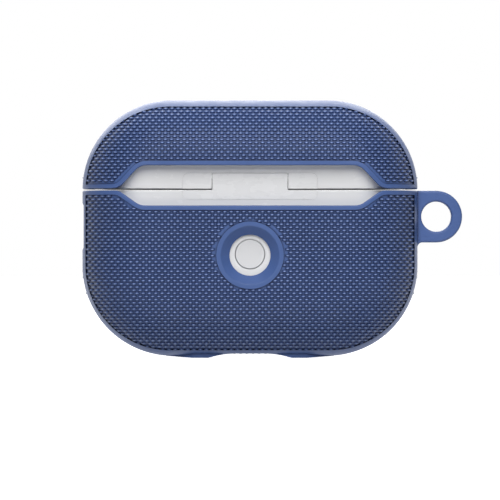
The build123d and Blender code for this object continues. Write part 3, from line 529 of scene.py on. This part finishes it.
# %% The fields' outlines
FIELD_HALF_WIDTH, FIELD_LOW, FIELD_HIGH, FIELD_CORNER = 31.7, 1.5, 48.4, 16.275
UNDER_BORDER = 0.45      # a cushion's middle may lie this far under the outer border
SEAM_Z, SEAM_HALF = 32.4, 1.0
DISH_Z, DISH_RADIUS = 19.8, 6.45
LAMP_Z, LAMP_RADIUS = 25.4, 3.25
WINDOW_TOP, WINDOW_FOOT = 5.45, 3.93      # the hinge window's reach above and below the seam
WINDOW_WIDE, WINDOW_NARROW = 25.6, 21.3      # half its width near the seam and at its ends
WINDOW_STRAIGHT = 1.0      # its sides start to slope this far from the seam
ROUNDED_FROM, ROUNDED_BY = 0.72, 26.4      # its corners
GRIP_X, GRIP_LOW, GRIP_HIGH = 31.6, 20.0, 30.7      # the finger hollow in one side


def in_outline(x, z):
    middle = (FIELD_LOW + FIELD_HIGH) / 2
    across = abs(x) - (FIELD_HALF_WIDTH - FIELD_CORNER)
    up = abs(z - middle) - ((FIELD_HIGH - FIELD_LOW) / 2 - FIELD_CORNER)
    inset = FIELD_CORNER - hypot(max(across, 0), max(up, 0)) - min(max(across, up), 0)
    return inset > -UNDER_BORDER


def in_window(x, z):
    """Inside the hinge window and its plain border. Its sides slope outwards to the seam."""
    rise = abs(z - SEAM_Z)
    top = WINDOW_TOP if z > SEAM_Z else WINDOW_FOOT
    if rise > top:
        return False
    slope = (WINDOW_WIDE - WINDOW_NARROW) / (top - WINDOW_STRAIGHT)
    rounding = ROUNDED_BY * max(rise / top - ROUNDED_FROM, 0) ** 2
    return abs(x) < WINDOW_WIDE - slope * (rise - WINDOW_STRAIGHT) - rounding


def at_side_grip(x, z):
    """One side has a finger hollow, and a cushion's end would show in it."""
    return x > GRIP_X and GRIP_LOW < z < GRIP_HIGH


def is_plain(x, z):
    """The seam's border and the finger hollow, which the front and the back share."""
    return abs(z - SEAM_Z) < SEAM_HALF or at_side_grip(x, z)


def in_rear_field(x, z):
    """Clear of the window and the dish too."""
    return not (is_plain(x, z) or in_window(x, z) or hypot(x, z - DISH_Z) < DISH_RADIUS)


def in_front_field(x, z):
    """Clear of the lamp's hole too."""
    return not (is_plain(x, z) or hypot(x, z - LAMP_Z) < LAMP_RADIUS)


print("a place above the dish is in the field:", in_rear_field(0, 27.5))

# %% [markdown]
# ## One cushion
#
# A cushion starts as a cube, divided once and swelled part of the way to a ball. Its lower half
# is cut off and closed, which leaves seventeen points: few enough to repeat thousands of times,
# and still soft once its faces are shaded smoothly. Its shoulders are drawn in towards a rounded
# peak, and it is flattened to its real size, wider than it is tall. Each point also remembers
# how high it stands, from 0 at the foot to 1 at the peak, so that the finish can follow it.

# %% Model one cushion
CUSHION_WIDTH, CUSHION_TALL, CUSHION_RISE = 1.12, 0.52, 0.34
ROUNDNESS = 0.8      # how far the cube is swelled to a ball
SHOULDER = 0.72      # its shoulders keep this share of their width
SOFT_EDGE = radians(62)      # edges blunter than this are shaded smoothly


def model_cushion():
    nothing_selected()
    bpy.ops.mesh.primitive_cube_add(size=2 * MM)
    cushion = bpy.context.active_object
    cushion.name = "cushion"
    bpy.ops.object.mode_set(mode="EDIT")
    bpy.ops.mesh.select_all(action="SELECT")
    bpy.ops.mesh.subdivide(number_cuts=1)
    bpy.ops.transform.tosphere(value=ROUNDNESS)
    bpy.ops.mesh.bisect(plane_co=(0, 0, 0), plane_no=(0, 0, 1), use_fill=True, clear_inner=True)
    bpy.ops.mesh.select_all(action="SELECT")
    bpy.ops.mesh.normals_make_consistent(inside=False)
    bpy.ops.object.mode_set(mode="OBJECT")
    crown = max(v.co.z for v in cushion.data.vertices)
    for vertex in cushion.data.vertices:
        vertex.select = 0.3 * crown < vertex.co.z < 0.99 * crown
    bpy.ops.object.mode_set(mode="EDIT")
    bpy.ops.transform.resize(value=(SHOULDER, SHOULDER, 1), center_override=(0, 0, 0))
    bpy.ops.object.mode_set(mode="OBJECT")
    size = cushion.dimensions / MM
    cushion.scale = (CUSHION_WIDTH / size.x, CUSHION_TALL / size.y, CUSHION_RISE / size.z)
    bpy.ops.object.transform_apply(location=True, rotation=True, scale=True)
    bpy.ops.object.shade_smooth_by_angle(angle=SOFT_EDGE)
    mesh = cushion.data
    low = min(v.co.z for v in mesh.vertices)
    top = max(v.co.z for v in mesh.vertices)
    rise = mesh.attributes.new("rise", "FLOAT", "POINT")
    for vertex, value in zip(mesh.vertices, rise.data):
        value.value = (vertex.co.z - low) / (top - low)
    return cushion


one_cushion = model_cushion()
heights = {round(v.value, 2) for v in one_cushion.data.attributes["rise"].data}
print("cushion:", len(one_cushion.data.vertices), "points, at the heights", sorted(heights))
print("its size in mm:", [round(v / MM, 3) for v in one_cushion.dimensions])

# %% [markdown]
# ## Laying the cushions
#
# Each place gets a copy with its own mesh. The copy's sides follow the slope of the surface, so
# that seen from straight behind every cushion keeps its width, and its top leans half way
# towards the surface's own direction. When a field is full, its copies are joined to one piece,
# which rides on the half of the cover that it belongs to.

# %% Set one copy on the surface
STEP_ACROSS, STEP_UP = 1.20, 0.60
FIRST_ROW_Z = 10.12
STEEPEST = 3.2      # a copy follows no slope steeper than this
LEAN = 0.5      # its top leans this share of the way to the surface's direction
SUNK = 0.05      # its foot goes this far into the field, so that no gap shows


def slope_at(x, z):
    """How much deeper the surface gets for each millimetre across and up."""
    small = 0.02
    across = surface_depth(x + small, z) - surface_depth(x - small, z)
    up = surface_depth(x, z + small) - surface_depth(x, z - small)
    return [max(-STEEPEST, min(STEEPEST, change / (2 * small))) for change in (across, up)]


def copy_on_surface(pattern, x, z, side):
    """A copy of the cushion at x, z. Side is 1 behind and -1 in front."""
    y = surface_depth(x, z)
    slope_x, slope_z = slope_at(x, z)
    normal = Vector((-LEAN * slope_x, 1, -LEAN * slope_z)).normalized()
    width = Vector((-side, -slope_x, 0))
    height = Vector((0, side * slope_z, 1))
    rise = Vector((normal.x, side * normal.y, normal.z))
    foot = Vector((x, side * y, z)) - SUNK * rise
    place = Matrix((
        (width.x, height.x, rise.x, foot.x * MM),
        (width.y, height.y, rise.y, foot.y * MM),
        (width.z, height.z, rise.z, foot.z * MM),
        (0, 0, 0, 1),
    ))
    mesh = pattern.data.copy()
    mesh.transform(place)
    return bpy.data.objects.new("cushion_copy", mesh)


print("a cushion every", STEP_ACROSS, "mm across, in rows", STEP_UP, "mm apart")

# %% Fill a field
INNER_ACROSS, INNER_UP = 0.3 * CUSHION_WIDTH, 0.4 * CUSHION_TALL      # what must lie in the field
ROWS, COLUMNS = range(-16, 66), range(-28, 29)
BORDER_GROW = 2.1      # the plain borders lie this far outside the case


def lies_inside(x, z, in_field):
    corners = [(x + a * INNER_ACROSS, z + b * INNER_UP) for a in (-1, 1) for b in (-1, 1)]
    return in_outline(x, z) and all(in_field(*corner) for corner in corners)


def cushion_places(in_field, low, high):
    """Places of whole cushions in a field, between two heights."""
    places = []
    for row in ROWS:
        z = FIRST_ROW_Z + row * STEP_UP
        shift = STEP_ACROSS / 2 if row % 2 else 0
        row_places = [(column * STEP_ACROSS + shift, z) for column in COLUMNS]
        if low < z < high:
            places += [place for place in row_places if lies_inside(*place, in_field)]
    return places


def stands_proud(point):
    """Outside the cover's plain borders."""
    depth = surface_depth(point.x, point.z, BORDER_GROW)
    return depth is None or abs(point.y) > depth + 0.01


def lay_cushions(name, body, in_field, side, low, high):
    places = cushion_places(in_field, low, high)
    copies = [copy_on_surface(one_cushion, x, z, side) for x, z in places]
    for copy in copies:
        bpy.context.scene.collection.objects.link(copy)
    weave = joined(copies)
    weave.name = name
    weave.data.name = name
    weave.data.materials.clear()
    weave.data.materials.append(cushion_blue)
    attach(weave, body)
    proud = [v.co for v in weave.data.vertices if stands_proud(v.co / MM)]
    print(name, "has", len(places), "cushions;", len(proud), "of its points stand proud of the borders")
    return weave


print("places behind:", len(cushion_places(in_rear_field, 0, MODEL_TOP)))

# %% [markdown]
# ## The cushions' blue
#
# The cushions are the cover's own plastic, a touch glossier than its borders. Their colour holds
# painted light: the finish reads the height that each point remembers, and climbs from a painted
# dark shade in the valleys to a painted pale highlight on the peaks. Light alone would show the
# same, only weaker.

# %% Dress and lay all four fields
# painted shade in the valleys and on the flanks, and a painted highlight on the peaks
PAINTED_VALLEY_SHADE, PAINTED_FLANK_SHADE = (0.004, 0.010, 0.048), (0.018, 0.040, 0.142)
SHOULDER_BLUE, PAINTED_PEAK_HIGHLIGHT = (0.058, 0.110, 0.300), (0.36, 0.46, 0.78)
CUSHION_ROUGHNESS = 0.34


def cushion_blue_with_painted_light():
    """The colour climbs with the height on a cushion, from painted valley shade to a painted peak
    highlight, with painted shade in the hollows; large faint patches vary it.
    """
    finish = new_finish("cushion_blue", BLUE_DEEP, CUSHION_ROUGHNESS, IOR=1.5, Specular_IOR_Level=0.22)
    height = add_node(finish, "ShaderNodeAttribute", attribute_name="rise")
    climb = [(0.0, PAINTED_VALLEY_SHADE), (0.55, PAINTED_FLANK_SHADE), (0.8, SHOULDER_BLUE), (1.0, PAINTED_PEAK_HIGHLIGHT)]
    body = blend_of(finish, height.outputs["Fac"], climb)
    patches = blend_of(finish, clouds(finish, 9, 3), [(0.25, (0.88, 0.9, 0.92)), (0.75, (1, 1, 1))])
    # painted shade in the hollows between the cushions
    shaded = painted_hollow_shade(finish, times(finish, body, patches), (0.2, 0.21, 0.26))
    wire(finish, shaded, shader_of(finish).inputs["Base Color"])
    soft_skin(finish, CUSHION_ROUGHNESS)
    return finish


cushion_blue = cushion_blue_with_painted_light()
lay_cushions("weave_lid_rear", "lid", in_rear_field, 1, SEAM_Z, MODEL_TOP)
lay_cushions("weave_base_rear", "base", in_rear_field, 1, 0, SEAM_Z)
lay_cushions("weave_lid_front", "lid", in_front_field, -1, SEAM_Z, MODEL_TOP)
lay_cushions("weave_base_front", "base", in_front_field, -1, 0, SEAM_Z)

# %% Clear away the pattern and the copies' emptied meshes
bpy.data.objects.remove(one_cushion)
emptied = [mesh for mesh in bpy.data.meshes if mesh.users == 0]
print("emptied meshes:", len(emptied))
for mesh in emptied:
    bpy.data.meshes.remove(mesh)

# %% [markdown]
# ## The plug's contacts
#
# Inside the port, a thin tongue carries two rows of gold strips that meet the charging plug.
# They are 0.3 mm wide and lie half sunk in the tongue. Each strip is a long flat cube with its
# edges bevelled, so that they catch a thin line of light, and each face of the tongue has
# eleven of them, half a millimetre apart.

# %% Model the gold strips
STRIP_SIZE = (0.28, 0.06, 3.6)
STRIP_STEP, STRIP_FACE, STRIP_MIDDLE = 0.5, 0.365, 2.4      # across, off the middle, above the foot
STRIP_BEVEL = 0.015


def model_strip(x, y, z):
    nothing_selected()
    bpy.ops.mesh.primitive_cube_add(size=1)
    strip = bpy.context.active_object
    strip.scale = tuple(v * MM for v in STRIP_SIZE)
    strip.location = (x, y, z)
    bpy.ops.object.transform_apply(location=True, rotation=True, scale=True)
    bpy.ops.object.mode_set(mode="EDIT")
    bpy.ops.mesh.select_all(action="SELECT")
    bpy.ops.mesh.bevel(offset=STRIP_BEVEL * MM, segments=2)
    bpy.ops.object.mode_set(mode="OBJECT")
    return strip


def model_strips():
    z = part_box("port_tongue")[0].z + STRIP_MIDDLE * MM
    strips = []
    for face in (-1, 1):
        for place in range(-5, 6):
            strips.append(model_strip(place * STRIP_STEP * MM, face * STRIP_FACE * MM, z))
    both_rows = joined(strips)
    both_rows.name = "port_contact_strips"
    both_rows.data.materials.append(contact_gold)
    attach(both_rows, "base")
    return both_rows


strips = model_strips()
print("gold strips:", len(strips.data.polygons), "faces")

# %% [markdown]
# ## The studio
#
# The object stands on a large pale floor in a white room. The floor glows faintly, so that it
# stays nearly white right up to the object. It lights nothing and blocks no lamp, but the
# object mirrors it, which gives the lower edges their soft sheen. Of the three soft lamps, a big
# one high behind the object makes the bright upper edges, a weak one below the floor lifts the
# back and the underside, and one in front lights that side for when the object is turned.

# %% Floor and room
FLOOR_SIZE = 6
GLOW_NEAR, GLOW_FAR = (0.04, 0.9), (0.16, 1.05)      # distance from the middle, and strength


def lay_floor():
    nothing_selected()
    bpy.ops.mesh.primitive_plane_add(size=FLOOR_SIZE)
    floor = bpy.context.active_object
    floor.name = "studio_floor"
    finish = new_finish("floor_white", (0.8, 0.8, 0.8), 0.9, Specular_IOR_Level=0.1)
    shader = shader_of(finish)
    shader.inputs["Emission Color"].default_value = (1, 1, 1, 1)
    reach = add_node(finish, "ShaderNodeVectorMath", operation="LENGTH")
    wire(finish, stretched_place(finish), reach.inputs[0])
    glow = span_of(finish, reach.outputs["Value"], GLOW_NEAR[0], GLOW_FAR[0], GLOW_NEAR[1], GLOW_FAR[1])
    wire(finish, glow, shader.inputs["Emission Strength"])
    floor.data.materials.append(finish)
    floor.visible_diffuse = False
    floor.visible_shadow = False
    floor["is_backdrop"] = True
    return floor


def white_room():
    """White to look at, but what the object mirrors is bright only in front and high up."""
    room = bpy.data.worlds.new("white_room")
    bpy.context.scene.world = room
    room.use_nodes = True
    way = add_node(room, "ShaderNodeTexCoord")
    split = add_node(room, "ShaderNodeSeparateXYZ")
    wire(room, way.outputs["Generated"], split.inputs["Vector"])
    mirrored = add_node(room, "ShaderNodeMath", operation="MULTIPLY")
    wire(room, span_of(room, split.outputs["Y"], -0.6, 0.1, 0.8, 0.1), mirrored.inputs[0])
    wire(room, span_of(room, split.outputs["Z"], -0.6, 0.5, 0.6, 2.2), mirrored.inputs[1])
    looked_at = add_node(room, "ShaderNodeLightPath")
    choice = add_node(room, "ShaderNodeMix")
    wire(room, looked_at.outputs["Is Camera Ray"], choice.inputs[0])
    wire(room, mirrored.outputs[0], choice.inputs[2])
    choice.inputs[3].default_value = 1.0
    background = room.node_tree.nodes["Background"]
    background.inputs["Color"].default_value = (1, 1, 1, 1)
    wire(room, choice.outputs[0], background.inputs["Strength"])
    room.cycles_visibility.diffuse = False
    return room


lay_floor()
white_room()
bpy.context.scene.view_settings.view_transform = "Standard"
print("floor and room ready")

# %% Soft lamps
OBJECT_MIDDLE = Vector((0, 0, 0.025))


def soft_lamp(name, place, size, power):
    """A square lamp that faces the object's middle."""
    lamp = bpy.data.lights.new(name, "AREA")
    lamp.shape = "SQUARE"
    lamp.size = size
    lamp.energy = power
    holder = bpy.data.objects.new(name, lamp)
    bpy.context.scene.collection.objects.link(holder)
    holder.location = place
    holder.rotation_euler = (OBJECT_MIDDLE - Vector(place)).to_track_quat("-Z", "Y").to_euler()
    holder.visible_camera = False
    return holder


soft_lamp("lamp_above", (0, 0.78, 0.8), 1.1, 17.0)
soft_lamp("lamp_low", (0, 0.8, -0.7), 0.8, 4.4)
soft_lamp("lamp_front", (0.1, -0.9, 0.55), 0.8, 6.4)

# %% [markdown]
# ## The camera
#
# The object is seen from straight behind, at the height of its button, through a long lens that
# keeps its outline flat.

# %% Set up the camera
CAMERA_PLACE = (0, 1.0, 0.0208)
LENS, SENSOR = 372, 36      # mm

camera = bpy.data.objects.new("camera", bpy.data.cameras.new("camera"))
bpy.context.scene.collection.objects.link(camera)
camera.location = CAMERA_PLACE
camera.rotation_euler = (radians(90), 0, radians(180))
camera.data.sensor_width = SENSOR
camera.data.lens = LENS
bpy.context.scene.camera = camera
print("camera lens", camera.data.lens, "mm, standing at", CAMERA_PLACE)

# %% [markdown]
# ## Write down the size
#
# The new pieces have to stay inside the engineering model's box, so how far each corner of the
# box has moved is written down.

# %% Write the sizes
bpy.context.view_layer.update()
look_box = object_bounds()
for corner, model, look in zip(("lowest", "highest"), model_box, look_box):
    print("the", corner, "corner moved by", [round((b - a) / MM, 3) for a, b in zip(model, look)], "mm")
